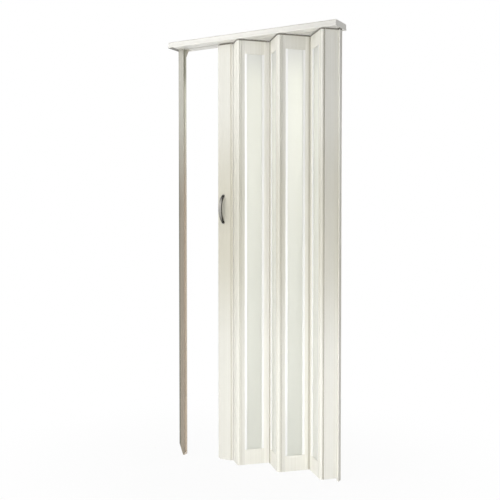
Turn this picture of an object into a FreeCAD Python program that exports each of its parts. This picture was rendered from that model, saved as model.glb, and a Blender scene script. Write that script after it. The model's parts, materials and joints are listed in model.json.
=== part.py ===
import FreeCAD, Part
import math
import os
from FreeCAD import Vector

# Accordion door: hollow PVC panels on full-height hinge strips, hung from a slotted head rail.
# Millimetres, +Z up. The origin lies on the floor under the middle of the head rail, +X runs
# along the rail towards the wall jamb and -Y faces the person who pulls the front handle.
# The panels stand half folded; every panel turns by the same angle, forwards and backwards by turns.

# Height
OVERALL_HEIGHT = 2050.0     # floor to the top of the head rail
FLOOR_GAP = 12.0            # floor to the lower edge of the panels
HEAD_GAP = 2.5              # upper edge of the panels to the underside of the head rail

# Folding chain
FULL_PANELS = 4             # glazed panels between the two plain half panels
HINGE_PITCH = 140.0         # hinge axis to hinge axis across a glazed panel
STRIP_PITCH = 12.0          # bead axis to bead axis across a hinge strip
FOLD_REST = 47.0            # degrees between a panel and the rail as it stands here
FOLD_CLOSED = 12.0          # the same angle with the lead post in the strike
FOLD_STACKED = 80.0         # and with the door pushed fully open
PANEL_THICK = 11.4          # also the diameter of the rounded panel edges
PANEL_WALL = 1.5
RIB_DEPTH = 0.8             # fine decorative grooves along the panels
RIB_WIDTH = 2.4
RIB_PITCH = 8.0             # about this far apart
QUIRK_SIDE = 5.0            # hinge axis to the middle of the shadow groove beside a hinge strip
QUIRK_WIDTH = 2.6
QUIRK_DEPTH = 2.0

# Bead-and-socket hinge
BEAD_R = 2.5
BEAD_CLEAR = 0.08           # running clearance of a bead in its socket
NECK_THICK = 1.6            # web that carries a bead
NECK_CLEAR = 0.25           # neck to the lips of the socket at the ends of its travel
EDGE_CLEAR = 0.5            # rounded panel edge to whatever it turns beside
STRIP_CROWN = 2.0           # thickness of a hinge strip's nose at its middle
STRIP_SHOULDER = 0.7        # and at its edges

# Glazed panel
STILE_FACE = 22.0           # hinge axis to the inner edge of a stile
TONGUE_DEPTH = 7.0          # tongue of a rail or glazing channel in the stile's groove
TONGUE_THICK = 5.8
TONGUE_CLEAR = 0.1
CHANNEL_FACE = 11.0         # face of a glazing channel, and of the rails' bevel towards the pane
CHANNEL_THICK = 8.6         # glazing channel at the stile
CHANNEL_LIP = 7.8           # and at the pane
PANE_THICK = 3.0
PANE_BITE = 8.0             # pane edge held in its channel
PANE_CLEAR = 0.1
TOP_RAIL = 66.0
BOTTOM_RAIL = 72.0
BOARD_THICK = 10.4          # top and bottom rails, a little thinner than the stiles
BOARD_RIB = 2.0             # walls between the pockets in the rails
POCKETS = 3                 # pockets in the end of a rail, the middle one takes the glider

# Plain half panels
HALF_CELLS = 3

# Lead post
LEAD_STANDOFF = 15.0        # hinge axis to the post's box
LEAD_BOX = 64.0
LEAD_THICK = 25.0
LEAD_WALL = 2.0
LEAD_ROUND = 3.0            # rounded corners
LEAD_FLANGE_THICK = 16.0    # hinge flange beside the half panel
LEAD_NECK_TURN = 45.0       # degrees by which its neck leads to the rear, out of sight from the front
LEAD_NOSE = 10.0            # length of the nose that enters the strike
LEAD_NOSE_THICK = 18.0
NOSE_TONGUE = 6.0           # tongue of the nose in the post's groove
NOSE_TONGUE_THICK = 6.0
NOSE_TONGUE_CLEAR = 0.1
LEAD_CAP = 3.0              # plate of the end plugs
PLUG_DEPTH = 18.0
PLUG_CLEAR = 0.15
KEEPER_WIDTH = 10.0
KEEPER_THICK = 1.5
KEEPER_CLEAR = 0.1

# Bow handles
HANDLE_CENTRES = 128.0      # between the screws
HANDLE_HEIGHT = 1228.0      # middle of the handle above the floor
HANDLE_INSET = 23.0         # handle to the nose side of the post's box
HANDLE_REACH = 34.0         # bow's outer face to the post
HANDLE_BAR = 8.0            # thickness of the bow
HANDLE_WAIST = 11.0         # width of the bow at its feet
HANDLE_BELLY = 17.0         # width of the bow at its middle
HANDLE_ROUND = 2.0          # rounded edges of the bow
FOOT_R = 6.5
FOOT_HEIGHT = 5.0
SCREW_R = 2.0
SCREW_CLEAR = 0.1
SCREW_BITE = 7.0            # length of a handle screw in each foot

# Head rail
RAIL_DEPTH = 118.0
RAIL_HEIGHT = 28.0
RAIL_WALL = 2.5
RAIL_OVERHANG = 30.0        # rail beyond the back of the strike post
FASCIA_BEAD = 8.5           # height of the rounded bead along the fascia's lower edge
FASCIA_STEP = 2.5           # fascia set back above the bead
FASCIA_LINE = 2.0           # height of the shadow groove along the fascia's upper edge
FASCIA_LINE_DEPTH = 1.4
FASCIA_LINE_DROP = 1.6      # groove to the top of the rail
TRACK_WIDTH = 30.0          # glider chamber
TRACK_SLOT = 8.5
RUNNER_HEIGHT = 1.0         # ridges on which the gliders run
RUNNER_WIDTH = 2.0
CAP_THICK = 2.0
CAP_PLUG = 10.0
CAP_CLEAR = 0.2
FIXING_R = 2.25             # screw holes towards the lintel
RAIL_FIXINGS = (780.0, 180.0)     # spacings of the outer and the inner pair of holes
POST_FIXINGS = (1700.0, 560.0)    # the same up the strike post and the wall jamb
POST_FIXING_R = 1.9         # screw holes of those two towards the walls

# Gliders
GLIDER_HEAD_R = 11.0
GLIDER_HEAD = 4.5
GLIDER_STEM_R = 3.5
GLIDER_FLANGE_R = 5.0
GLIDER_FLANGE = 1.5
GLIDER_CLEAR = 0.3          # head above the runners
SPIGOT_DEPTH = 12.0
SPIGOT_CLEAR = 0.15
LEAD_GLIDER_SPACING = 34.0

# Strike post with its magnets and bracket
STRIKE_DEPTH = 26.0
STRIKE_WALL = 2.0
STRIKE_CHAMBER = 12.5       # hollow behind the receiver
STRIKE_RECEIVER = 12.5      # flanges in front of the web
SCRIBE_HEIGHT = 56.0        # bevel at the foot that clears a skirting board
SCRIBE_WIDTH = 21.0
FOOT_PLUG_CLEAR = 0.1       # plug in the foot of the receiver to its flanges
DRIVER_R = 5.0              # screwdriver holes in the web
MAGNET_THICK = 3.0
MAGNET_WIDTH = 12.0
MAGNET_LENGTH = 400.0
LATCH_GAP = 0.5             # keeper to magnet with the door closed
BRACKET_THICK = 2.5
BRACKET_DROP = 34.0
BRACKET_REACH = 16.0        # gusset beyond the strike's flanges
BRACKET_FLANGE = 20.0       # tab under the head rail
BRACKET_EDGE = 6.0          # holes to the nearest edge of the plate
PAN_SCREW_R = 1.6
PAN_HEAD_R = 3.2
PAN_HEAD = 1.8
PAN_CLEAR = 0.1
PAN_BITE = 1.6              # screw through the wall it grips

# Wall jamb
JAMB_WIDTH = 26.0
JAMB_PLATE = 5.8
JAMB_ROUND = 1.5
JAMB_FIXING_SIDE = 8.5      # row of holes behind the track's plane
RELIEF_WIDTH = 12.0         # groove in the face towards the wall
RELIEF_DEPTH = 1.5

# Worked out from the sizes above
EDGE_R = PANEL_THICK / 2
SOCKET_R = BEAD_R + BEAD_CLEAR
QUIRK_EDGE = QUIRK_SIDE + QUIRK_WIDTH / 2     # hinge axis to the far side of the shadow groove
RAIL_BOTTOM = OVERALL_HEIGHT - RAIL_HEIGHT
PANEL_BOTTOM, PANEL_TOP = FLOOR_GAP, RAIL_BOTTOM - HEAD_GAP
BEAD_STAND = EDGE_R + EDGE_CLEAR              # bead axis to the face that carries it
JAMB_DEPTH = JAMB_PLATE + BEAD_STAND
LEAD_REACH = LEAD_STANDOFF + LEAD_BOX + LEAD_NOSE
STRIKE_BACK = 2 * STRIKE_WALL + STRIKE_CHAMBER       # back of the strike to its magnets
STRIKE_WIDTH = STRIKE_BACK + STRIKE_RECEIVER


def chain_length(fold):
    """Wall axis to lead axis with the panels at this angle to the rail."""
    return (FULL_PANELS + 1) * (HINGE_PITCH * math.cos(math.radians(fold)) + STRIP_PITCH)


CLOSED_REACH = JAMB_DEPTH + chain_length(FOLD_CLOSED) + LEAD_REACH
RAIL_LENGTH = CLOSED_REACH + LATCH_GAP + MAGNET_THICK + STRIKE_BACK + RAIL_OVERHANG
WALL_X = RAIL_LENGTH / 2
WALL_AXIS_X = WALL_X - JAMB_DEPTH
LEAD_AXIS_X = WALL_AXIS_X - chain_length(FOLD_REST)
STRIKE_X = RAIL_OVERHANG - WALL_X             # back of the strike post
POST_MIDDLE = RAIL_BOTTOM / 2
RUNNER_TOP = RAIL_BOTTOM + RAIL_WALL + RUNNER_HEIGHT
BOARD_WIDTH = HINGE_PITCH - 2 * STILE_FACE
POCKET_WIDTH = (BOARD_WIDTH - (POCKETS + 1) * BOARD_RIB) / POCKETS
POCKET_THICK = BOARD_THICK - 2 * PANEL_WALL
Z_AXIS = Vector(0, 0, 1)


# Flat profiles

def outline(start, *moves):
    """Face inside a closed outline. A move is a point to draw a line to, or a pair (via, end) for an arc."""
    here, runs = Vector(*start, 0), []
    for move in moves + (start,):
        via, end = move if isinstance(move[0], tuple) else (None, move)
        end = Vector(*end, 0)
        if here.distanceToPoint(end) > 1e-6:
            runs.append((here, via and Vector(*via, 0), end))
        here = end
    if sum(a.x * b.y - a.y * b.x for a, _, b in runs) < 0:       # every face looks up
        runs = [(b, via, a) for a, via, b in reversed(runs)]
    edges = [Part.Arc(a, via, b) if via else Part.LineSegment(a, b) for a, via, b in runs]
    return Part.Face(Part.Wire([edge.toShape() for edge in edges]))


def rect(x0, x1, y0, y1):
    return outline((x0, y0), (x1, y0), (x1, y1), (x0, y1))


def rounded(x0, x1, y0, y1, r):
    """Rectangle with rounded corners."""
    k = r * (1 - math.sqrt(0.5))
    return outline((x0 + r, y0), (x1 - r, y0), ((x1 - k, y0 + k), (x1, y0 + r)),
                   (x1, y1 - r), ((x1 - k, y1 - k), (x1 - r, y1)),
                   (x0 + r, y1), ((x0 + k, y1 - k), (x0, y1 - r)),
                   (x0, y0 + r), ((x0 + k, y0 + k), (x0 + r, y0)))


def disc(x, y, r):
    return Part.Face(Part.Wire(Part.makeCircle(r, Vector(x, y, 0))))


def joined(*faces):
    return Part.Shell(faces[0].fuse(list(faces[1:])).Faces).removeSplitter()


def cut(shape, *tools):
    return shape.cut(list(tools))


def flipped(shape):
    """Mirror image across the panel's own plane."""
    return shape.mirror(Vector(0, 0, 0), Vector(0, 1, 0))


def turned(shape, degrees):
    return shape.copy().rotate(Vector(0, 0, 0), Z_AXIS, degrees)


def fine_grooves(x0, x1, r):
    """V grooves evenly between x0 and x1, along both faces of a board whose faces lie at -r and r."""
    count, half = max(2, round((x1 - x0) / RIB_PITCH)), RIB_WIDTH / 2
    row = []
    for i in range(1, count):
        x = x0 + (x1 - x0) * i / count
        for side in (-1, 1):
            inner, face, outer = side * (r - RIB_DEPTH), side * r, side * (r + RIB_DEPTH)
            row.append(outline((x - half, face), (x, inner), (x + half, face),
                               (x + half, outer), (x - half, outer)))
    return row


def quirk(x):
    """Shadow grooves at x along both faces of a panel."""
    near, far = EDGE_R - QUIRK_DEPTH, EDGE_R + QUIRK_DEPTH
    sides = x - QUIRK_WIDTH / 2, x + QUIRK_WIDTH / 2
    return rect(*sides, near, far), rect(*sides, -far, -near)


# Solids from profiles

def extruded(profile, length):
    (face,) = profile.Faces
    return face.extrude(Vector(0, 0, length))


def upright(profile, z0, z1):
    """Profile in plan, extruded from z0 to z1."""
    return extruded(profile, z1 - z0).translate(Vector(0, 0, z0))


def lengthwise(profile, x0, x1):
    """Profile drawn as (Y, Z), extruded along the rail from x0 to x1."""
    solid = extruded(profile, x1 - x0)
    solid.Placement = FreeCAD.Placement(Vector(x0, 0, 0), FreeCAD.Rotation(Vector(1, 1, 1), 120))
    return solid


def crosswise(profile, y0, y1):
    """Profile drawn as (X, Z), extruded from y0 to y1."""
    solid = extruded(profile, y1 - y0)
    solid.Placement = FreeCAD.Placement(Vector(0, y1, 0), FreeCAD.Rotation(Vector(1, 0, 0), 90))
    return solid


def rod(r, start, end):
    """Round bar between two points."""
    run = Vector(*end) - Vector(*start)
    return Part.makeCylinder(r, run.Length, Vector(*start), run)


def standing(shape, x, y, degrees):
    """Piece drawn about its own axis, set down at x, y and turned to its fold angle."""
    return turned(shape, degrees).translate(Vector(x, y, 0))


def pair_heights(spacings):
    """Heights of the pairs of screw holes up a post."""
    return [POST_MIDDLE + side * s / 2 for s in spacings for side in (-1, 1)]


# Hinge: a socket along each panel edge turns about a bead on a strip, the jamb or the lead post

HINGE_SWING = (min(FOLD_CLOSED, 90 - FOLD_STACKED), max(FOLD_STACKED, 90 - FOLD_CLOSED))
LEAD_SWING = (FOLD_CLOSED - LEAD_NECK_TURN, FOLD_STACKED - LEAD_NECK_TURN)


def socket_cuts(x, end_angle, swing):
    """Bore and mouth of a socket at x in the edge that points along end_angle.

    The swing is the least and greatest angle from there, towards the front, at which the neck stands.
    """
    margin = math.degrees(math.asin((NECK_THICK / 2 + NECK_CLEAR) / SOCKET_R))
    travel = (swing[0] - margin, swing[1] + margin)
    sense = 1 if end_angle == 180 else -1
    reach = 3 * EDGE_R
    corners = [math.radians(end_angle + sense * a) for a in (travel[0], sum(travel) / 2, travel[1])]
    mouth = outline((x, 0), *[(x + reach * math.cos(a), reach * math.sin(a)) for a in corners])
    return disc(x, 0, SOCKET_R), mouth


def bead(x, y, dx, dy, reach=BEAD_STAND):
    """Bead on a neck that leads in the direction (dx, dy) as far as the face that carries it."""
    px, py = -dy * NECK_THICK / 2, dx * NECK_THICK / 2
    end_x, end_y = x + dx * reach, y + dy * reach
    return disc(x, y, BEAD_R), outline((x - px, y - py), (end_x - px, end_y - py),
                                       (end_x + px, end_y + py), (x + px, y + py))


def hinge_strip():
    """Two beads under one crowned nose that faces the front."""
    half = STRIP_PITCH / 2
    side = half + NECK_THICK / 2
    nose = outline((-side, -BEAD_STAND), (-side, -BEAD_STAND - STRIP_SHOULDER),
                   ((0, -BEAD_STAND - STRIP_CROWN), (side, -BEAD_STAND - STRIP_SHOULDER)),
                   (side, -BEAD_STAND))
    profile = joined(nose, *bead(-half, 0, 0, -1), *bead(half, 0, 0, -1))
    return upright(profile, PANEL_BOTTOM, PANEL_TOP)


# Glazed panel, drawn flat along X about its middle, front face towards -Y

def stile_profile():
    """Left stile, its socket open to the front and its groove towards the pane."""
    r, inner = EDGE_R, STILE_FACE - TONGUE_DEPTH - TONGUE_CLEAR
    body = outline((0, -r), (STILE_FACE, -r), (STILE_FACE, r), (0, r), ((-r, 0), (0, -r)))
    groove = rect(inner, STILE_FACE, -TONGUE_THICK / 2 - TONGUE_CLEAR, TONGUE_THICK / 2 + TONGUE_CLEAR)
    chamber = rect(QUIRK_EDGE + PANEL_WALL, inner - PANEL_WALL, PANEL_WALL - r, r - PANEL_WALL)
    return cut(body, groove, chamber, *socket_cuts(0, 180, HINGE_SWING), *quirk(QUIRK_SIDE),
               *fine_grooves(QUIRK_EDGE, STILE_FACE, r))


def channel_profile():
    """Glazing channel of the left stile: tongue, sloping faces and the slot that holds the pane."""
    inner, edge = STILE_FACE - TONGUE_DEPTH, STILE_FACE + CHANNEL_FACE
    root, lip, slot = CHANNEL_THICK / 2, CHANNEL_LIP / 2, PANE_THICK / 2 + PANE_CLEAR
    slope = outline((STILE_FACE, -root), (edge, -lip), (edge, lip), (STILE_FACE, root))
    tongue = rect(inner, STILE_FACE, -TONGUE_THICK / 2, TONGUE_THICK / 2)
    return cut(joined(slope, tongue), rect(edge - PANE_BITE - PANE_CLEAR, edge, -slot, slot))


def board(window_z, end_z):
    """Top or bottom rail between a window edge and an end of the panel, with blind pockets in that end."""
    low, high = min(window_z, end_z), max(window_z, end_z)
    up = 1 if end_z > window_z else -1
    half, thick = BOARD_WIDTH / 2, BOARD_THICK / 2
    blank = joined(rect(-half, half, -thick, thick),
                   rect(-half - TONGUE_DEPTH, half + TONGUE_DEPTH, -TONGUE_THICK / 2, TONGUE_THICK / 2))
    solid = upright(blank, low, high)
    slot = PANE_THICK / 2 + PANE_CLEAR
    slot_z = window_z + up * (PANE_BITE + PANE_CLEAR)
    tools = [lengthwise(rect(-slot, slot, *sorted((window_z, slot_z))), -half, half)]
    for side in (-1, 1):
        bevel = outline((side * thick, window_z + up * CHANNEL_FACE), (side * thick, window_z),
                        (side * CHANNEL_LIP / 2, window_z))
        tools.append(lengthwise(bevel, -half, half))
    floor_z = window_z + up * (max(PANE_BITE, CHANNEL_FACE) + BOARD_RIB)
    for i in range(POCKETS):
        x = -half + BOARD_RIB + i * (POCKET_WIDTH + BOARD_RIB)
        pocket = rect(x, x + POCKET_WIDTH, -POCKET_THICK / 2, POCKET_THICK / 2)
        tools.append(upright(pocket, *sorted((floor_z, end_z))))
    return cut(solid, *tools)


def glazed_panel():
    """The pieces of one panel that don't depend on which way it folds."""
    sill, lintel = PANEL_BOTTOM + BOTTOM_RAIL, PANEL_TOP - TOP_RAIL
    channel = upright(channel_profile(), sill, lintel).translate(Vector(-HINGE_PITCH / 2, 0, 0))
    pane_half = HINGE_PITCH / 2 - STILE_FACE - CHANNEL_FACE + PANE_BITE
    pane = upright(rect(-pane_half, pane_half, -PANE_THICK / 2, PANE_THICK / 2),
                   sill - PANE_BITE, lintel + PANE_BITE)
    return {"top_rail": board(lintel, PANEL_TOP), "bottom_rail": board(sill, PANEL_BOTTOM), "pane": pane,
            "glazing_channels": Part.makeCompound([channel, turned(channel, 180)]),
            "glider": panel_glider()}


def half_panel(strip_side, left_swing):
    """Plain hollow panel of half the width, whose hinge strip is at the left where strip_side is -1."""
    half, r = HINGE_PITCH / 4, EDGE_R
    body = outline((-half, -r), (half, -r), ((half + r, 0), (half, r)),
                   (-half, r), ((-half - r, 0), (-half, -r)))
    start = QUIRK_EDGE + PANEL_WALL - half
    pitch = (-2 * start + PANEL_WALL) / HALF_CELLS
    tools = [*socket_cuts(-half, 180, left_swing), *socket_cuts(half, 0, HINGE_SWING),
             *quirk(strip_side * (half - QUIRK_SIDE)),
             *fine_grooves(QUIRK_EDGE - half, half - QUIRK_EDGE, r)]
    for i in range(HALF_CELLS):
        x = start + i * pitch
        tools.append(rect(x, x + pitch - PANEL_WALL, PANEL_WALL - r, r - PANEL_WALL))
    return upright(cut(body, *tools), PANEL_BOTTOM, PANEL_TOP)


# Gliders

def mushroom(x, y):
    """Flange on the panel's upper edge, stem through the rail's slot and head on the runners."""
    low = RUNNER_TOP + GLIDER_CLEAR
    edge = GLIDER_HEAD / 2
    seat = PANEL_TOP + GLIDER_FLANGE
    section = outline((0, PANEL_TOP), (GLIDER_FLANGE_R, PANEL_TOP), (GLIDER_FLANGE_R, seat),
                      (GLIDER_STEM_R, seat), (GLIDER_STEM_R, low),
                      (GLIDER_HEAD_R, low), (GLIDER_HEAD_R, low + edge),
                      ((GLIDER_HEAD_R - edge * (1 - math.sqrt(0.5)), low + edge * (1 + math.sqrt(0.5))),
                       (GLIDER_HEAD_R - edge, low + 2 * edge)), (0, low + 2 * edge))
    section.Placement = FreeCAD.Placement(Vector(0, 0, 0), FreeCAD.Rotation(Vector(1, 0, 0), 90))
    return section.revolve(Vector(0, 0, 0), Z_AXIS, 360).translate(Vector(x, y, 0))


def panel_glider():
    """Glider whose flat spigot fills the middle pocket of a top rail."""
    half_x, half_y = POCKET_WIDTH / 2 - SPIGOT_CLEAR, POCKET_THICK / 2 - SPIGOT_CLEAR
    spigot = upright(rect(-half_x, half_x, -half_y, half_y), PANEL_TOP - SPIGOT_DEPTH, PANEL_TOP)
    return mushroom(0, 0).fuse(spigot).removeSplitter()


# Lead post, drawn about its hinge axis with its nose towards -X

LEAD_RIGHT = -LEAD_STANDOFF
LEAD_LEFT = LEAD_RIGHT - LEAD_BOX
LEAD_WEB = (LEAD_LEFT + LEAD_RIGHT) / 2
LEAD_SEAT = LEAD_LEFT + NOSE_TONGUE + NOSE_TONGUE_CLEAR       # floor of the nose's groove
HANDLE_X = LEAD_LEFT + HANDLE_INSET
LEAD_LOW, LEAD_HIGH = PANEL_BOTTOM + LEAD_CAP, PANEL_TOP - LEAD_CAP


def lead_cells():
    """Large hollow cells of the box, left and right of its web."""
    y, t = LEAD_THICK / 2 - LEAD_WALL, LEAD_WALL
    return [(LEAD_SEAT + t, LEAD_WEB - t / 2, -y, y), (LEAD_WEB + t / 2, LEAD_RIGHT - t, -y, y)]


def lead_envelope():
    """Outline of the post without its hinge bead and nose."""
    flange = rect(LEAD_RIGHT - LEAD_WALL, -BEAD_STAND, -LEAD_FLANGE_THICK / 2, LEAD_FLANGE_THICK / 2)
    return joined(flange, rounded(LEAD_LEFT, LEAD_RIGHT, -LEAD_THICK / 2, LEAD_THICK / 2, LEAD_ROUND))


def lead_post():
    """Hollow extrusion with the nose's groove, fine grooves and the holes of the handle screws."""
    t, r = LEAD_WALL, LEAD_THICK / 2
    groove = NOSE_TONGUE_THICK / 2 + NOSE_TONGUE_CLEAR
    tools = [rect(*cell) for cell in lead_cells()]
    tools += [rect(LEAD_LEFT, LEAD_SEAT, -groove, groove),
              rect(LEAD_LEFT + t, LEAD_SEAT, groove + t, r - t),
              rect(LEAD_LEFT + t, LEAD_SEAT, t - r, -groove - t),
              rect(LEAD_RIGHT, -BEAD_STAND - t, t - LEAD_FLANGE_THICK / 2, LEAD_FLANGE_THICK / 2 - t)]
    tools += fine_grooves(LEAD_LEFT, LEAD_RIGHT, r)
    turn = math.radians(LEAD_NECK_TURN)
    neck = BEAD_STAND / math.cos(turn) + NECK_THICK / 2
    profile = joined(cut(lead_envelope(), *tools), *bead(0, 0, -math.cos(turn), math.sin(turn), neck))
    holes = [rod(SCREW_R + SCREW_CLEAR, (HANDLE_X, -r, z), (HANDLE_X, r, z))
             for z in handle_screw_heights()]
    return cut(upright(profile, LEAD_LOW, LEAD_HIGH), *holes)


def lead_nose():
    """Closing strip on the post: a hollow nose with the keeper's groove, on a tongue."""
    half, t, tip, r = LEAD_NOSE_THICK / 2, LEAD_WALL, -LEAD_REACH, LEAD_ROUND
    k = r * (1 - math.sqrt(0.5))
    body = outline((LEAD_LEFT, -half), (LEAD_LEFT, half),
                   (tip + r, half), ((tip + k, half - k), (tip, half - r)),
                   (tip, r - half), ((tip + k, k - half), (tip + r, -half)))
    tongue = rect(LEAD_LEFT, LEAD_LEFT + NOSE_TONGUE, -NOSE_TONGUE_THICK / 2, NOSE_TONGUE_THICK / 2)
    groove = rect(tip, tip + KEEPER_THICK, -KEEPER_WIDTH / 2 - KEEPER_CLEAR, KEEPER_WIDTH / 2 + KEEPER_CLEAR)
    cell = rect(tip + KEEPER_THICK + t, LEAD_LEFT - t, t - half, half - t)
    return upright(cut(joined(body, tongue), groove, cell), LEAD_LOW, LEAD_HIGH)


def lead_plug(plate_z, post_end):
    """Plate over the end of the post with a spigot in each cell."""
    plug = upright(lead_envelope(), *sorted((plate_z, post_end)))
    reach = post_end + math.copysign(PLUG_DEPTH, post_end - plate_z)
    c = PLUG_CLEAR
    spigots = [upright(rect(x0 + c, x1 - c, y0 + c, y1 - c), *sorted((post_end, reach)))
               for x0, x1, y0, y1 in lead_cells()]
    return plug.fuse(spigots).removeSplitter()


def lead_gliders():
    return Part.makeCompound([mushroom(LEAD_WEB + side * LEAD_GLIDER_SPACING / 2, 0) for side in (-1, 1)])


def keeper():
    x = -LEAD_REACH
    return upright(rect(x, x + KEEPER_THICK, -KEEPER_WIDTH / 2, KEEPER_WIDTH / 2), LEAD_LOW, LEAD_HIGH)


# Bow handles

def handle_screw_heights():
    return [HANDLE_HEIGHT + side * HANDLE_CENTRES / 2 for side in (-1, 1)]


def bow_handle():
    """Bow that widens from its feet to its middle, drawn on the plane Y = 0 and standing out to -Y."""
    half = HANDLE_CENTRES / 2
    start = HANDLE_BAR / 2
    rise = HANDLE_REACH - HANDLE_BAR / 2 - start
    radius = (half ** 2 + rise ** 2) / (2 * rise)
    centre_y = radius - rise - start
    sweep = math.degrees(math.asin(half / radius))
    sections = []
    for i in range(-3, 4):
        angle = sweep * i / 3
        width = HANDLE_WAIST + (HANDLE_BELLY - HANDLE_WAIST) * math.cos(math.radians(90 * i / 3))
        bar = rounded(-width / 2, width / 2, -HANDLE_BAR / 2, HANDLE_BAR / 2, HANDLE_ROUND)
        ring = bar.OuterWire.translate(Vector(0, -radius, 0))
        ring.rotate(Vector(0, 0, 0), Vector(1, 0, 0), -angle)
        sections.append(ring.translate(Vector(0, centre_y, HANDLE_HEIGHT)))
    bow = Part.makeLoft(sections, True, False)
    feet = [rod(FOOT_R, (0, 0, z), (0, -FOOT_HEIGHT, z)) for z in handle_screw_heights()]
    holes = [rod(SCREW_R + SCREW_CLEAR, (0, 0, z), (0, -SCREW_BITE - SCREW_CLEAR, z))
             for z in handle_screw_heights()]
    return cut(bow.fuse(feet), *holes)


def handle_screws():
    reach = LEAD_THICK / 2 + SCREW_BITE
    return Part.makeCompound([rod(SCREW_R, (HANDLE_X, -reach, z), (HANDLE_X, reach, z))
                              for z in handle_screw_heights()])


# Head rail, profile drawn as (Y, Z) above its underside

def rail_outline():
    """Moulded outline: rounded bead, step, plain fascia and shadow groove, in front and behind."""
    d, h, b = RAIL_DEPTH / 2, RAIL_HEIGHT, FASCIA_BEAD
    r, k = b / 2, b / 2 * (1 - math.sqrt(0.5))
    face, ease = d - FASCIA_STEP, FASCIA_LINE_DROP / 2
    high = h - FASCIA_LINE_DROP
    low, deep = high - FASCIA_LINE, face - FASCIA_LINE_DEPTH
    return outline((r - d, 0), (d - r, 0), ((d - k, k), (d, r)), (d, b), (face, b + FASCIA_STEP),
                   (face, low), (deep, low), (deep, high), (face, high), (face, h - ease), (face - ease, h),
                   (ease - face, h), (-face, h - ease), (-face, high), (-deep, high), (-deep, low),
                   (-face, low), (-face, b + FASCIA_STEP), (-d, b), (-d, r), ((k - d, k), (r - d, 0)))


def rail_chambers():
    """Hollows in front of and behind the glider chamber."""
    y0, y1 = TRACK_WIDTH / 2 + RAIL_WALL, RAIL_DEPTH / 2 - FASCIA_STEP - RAIL_WALL
    return [(-y1, -y0, RAIL_WALL, RAIL_HEIGHT - RAIL_WALL), (y0, y1, RAIL_WALL, RAIL_HEIGHT - RAIL_WALL)]


def head_rail():
    """Three-chamber extrusion, slotted below, with its fixing holes and the bracket's screw holes."""
    slot, track = TRACK_SLOT / 2, TRACK_WIDTH / 2
    tools = [rect(*chamber) for chamber in rail_chambers()]
    tools.append(rect(-track, track, RAIL_WALL, RAIL_HEIGHT - RAIL_WALL))
    tools.append(rect(-slot, slot, 0, RAIL_WALL))
    runners = [rect(side * slot, side * (slot + RUNNER_WIDTH), RAIL_WALL, RAIL_WALL + RUNNER_HEIGHT)
               for side in (-1, 1)]
    profile = joined(cut(rail_outline(), *tools), *runners)
    half = RAIL_LENGTH / 2 - CAP_THICK
    rail = lengthwise(profile, -half, half).translate(Vector(0, 0, RAIL_BOTTOM))
    holes = [rod(FIXING_R, (side * s / 2, 0, OVERALL_HEIGHT - RAIL_WALL), (side * s / 2, 0, OVERALL_HEIGHT))
             for s in RAIL_FIXINGS for side in (-1, 1)]
    holes += [rod(PAN_SCREW_R + PAN_CLEAR, (x, y, RAIL_BOTTOM), (x, y, RAIL_BOTTOM + RAIL_WALL))
              for x, y in bracket_rail_holes()]
    return cut(rail, *holes)


def rail_end_cap(side):
    """Plate over an end of the rail with plugs in the outer chambers. Side is -1 at the left."""
    end, seat = side * RAIL_LENGTH / 2, side * (RAIL_LENGTH / 2 - CAP_THICK)
    cap = lengthwise(rail_outline(), *sorted((end, seat)))
    c = CAP_CLEAR
    plugs = [lengthwise(rect(y0 + c, y1 - c, z0 + c, z1 - c), *sorted((seat, seat - side * CAP_PLUG)))
             for y0, y1, z0, z1 in rail_chambers()]
    return cap.fuse(plugs).removeSplitter().translate(Vector(0, 0, RAIL_BOTTOM))


# Strike post, its magnets and its bracket

def strike_post():
    """Hollow back and open receiver, scribed at the foot, with screw and screwdriver holes."""
    t, half = STRIKE_WALL, STRIKE_DEPTH / 2
    x0 = STRIKE_X
    body = rect(x0, x0 + STRIKE_WIDTH, -half, half)
    chamber = rect(x0 + t, x0 + t + STRIKE_CHAMBER, t - half, half - t)
    receiver = rect(x0 + STRIKE_BACK, x0 + STRIKE_WIDTH, t - half, half - t)
    post = upright(cut(body, chamber, receiver), 0, RAIL_BOTTOM)
    holes = [rod(POST_FIXING_R, (x0, 0, z), (x0 + t, 0, z)) for z in pair_heights(POST_FIXINGS)]
    holes += [rod(DRIVER_R, (x0 + t + STRIKE_CHAMBER, 0, z), (x0 + STRIKE_BACK, 0, z))
              for z in pair_heights(POST_FIXINGS)]
    holes += [rod(PAN_SCREW_R + PAN_CLEAR, (x, half - t, z), (x, half, z)) for x, z in bracket_post_holes()]
    return cut(post, foot_scribe(), *holes)


def foot_scribe():
    """Wedge that is sawn off the outer side of the strike's foot."""
    profile = outline((STRIKE_X, 0), (STRIKE_X + SCRIBE_WIDTH, 0), (STRIKE_X, SCRIBE_HEIGHT))
    return crosswise(profile, -STRIKE_DEPTH / 2, STRIKE_DEPTH / 2)


def strike_foot_plug():
    """Block that closes the receiver below the lead post, sawn off with the post."""
    half = STRIKE_DEPTH / 2 - STRIKE_WALL - FOOT_PLUG_CLEAR
    block = rect(STRIKE_X + STRIKE_BACK, STRIKE_X + STRIKE_WIDTH, -half, half)
    return cut(upright(block, 0, FLOOR_GAP), foot_scribe())


def strike_magnets():
    """Two flat bars on the web, between the outer and the inner screw holes."""
    x = STRIKE_X + STRIKE_BACK
    profile = rect(x, x + MAGNET_THICK, -MAGNET_WIDTH / 2, MAGNET_WIDTH / 2)
    middle = sum(POST_FIXINGS) / 4
    return Part.makeCompound([upright(profile, POST_MIDDLE + side * middle - MAGNET_LENGTH / 2,
                                      POST_MIDDLE + side * middle + MAGNET_LENGTH / 2) for side in (-1, 1)])


BRACKET_LEFT = STRIKE_X + STRIKE_WALL
BRACKET_RIGHT = STRIKE_X + STRIKE_WIDTH + BRACKET_REACH
BRACKET_Y = STRIKE_DEPTH / 2


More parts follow.
